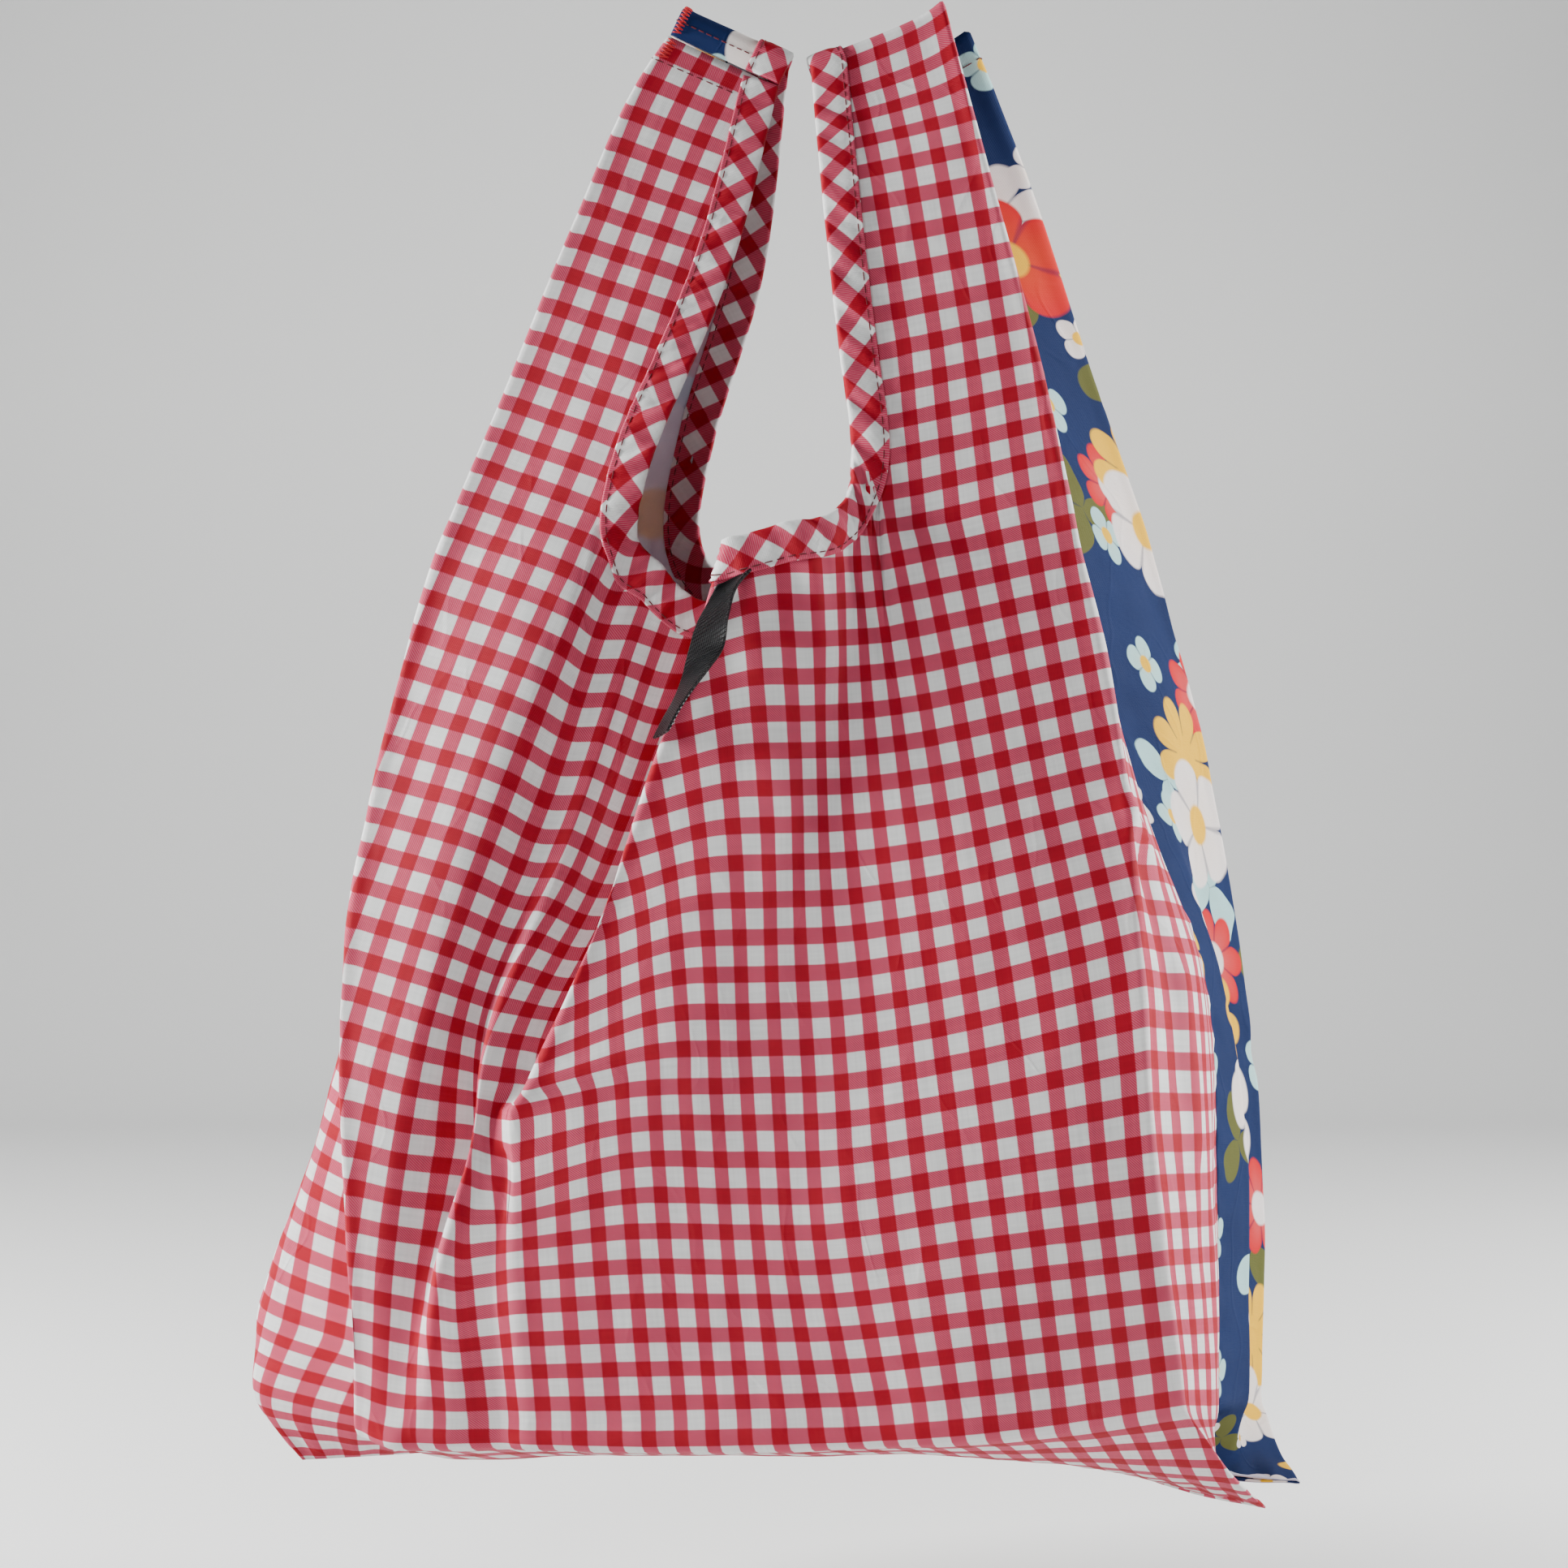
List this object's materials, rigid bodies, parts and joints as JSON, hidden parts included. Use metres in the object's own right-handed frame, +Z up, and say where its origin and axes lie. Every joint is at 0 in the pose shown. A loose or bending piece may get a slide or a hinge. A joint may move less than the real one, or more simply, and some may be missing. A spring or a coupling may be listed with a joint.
{
  "type": "lunch bag",
  "caption": "Empty cloth lunch bag in vest shape, hanging from its two handles, with gusseted sides, bound mouth edges and a short tape.",
  "frame": {"origin": "midway between the two points by which the handles hang, at their height and in the plane between the two panels", "axes": "+Z up, -Y towards the bag's checked front, +X to the right as seen from the front"},
  "size_m": [0.299, 0.1244, 0.4293],
  "materials": {
    "checked_cloth": "red and white gingham, fine polyester twill with a soft sheen",
    "flowered_cloth": "large flower print on navy, pale lavender on its wrong side",
    "bias_binding": "the gingham cut on the bias and folded over the edge",
    "woven_tape": "black woven tape with a fine rib"
  },
  "bodies": {
    "root": {"front_panel": "checked_cloth", "back_panel": "flowered_cloth", "front_mouth_binding": "bias_binding", "back_mouth_binding": "bias_binding", "tape": "woven_tape"}
  },
  "joints": []
}
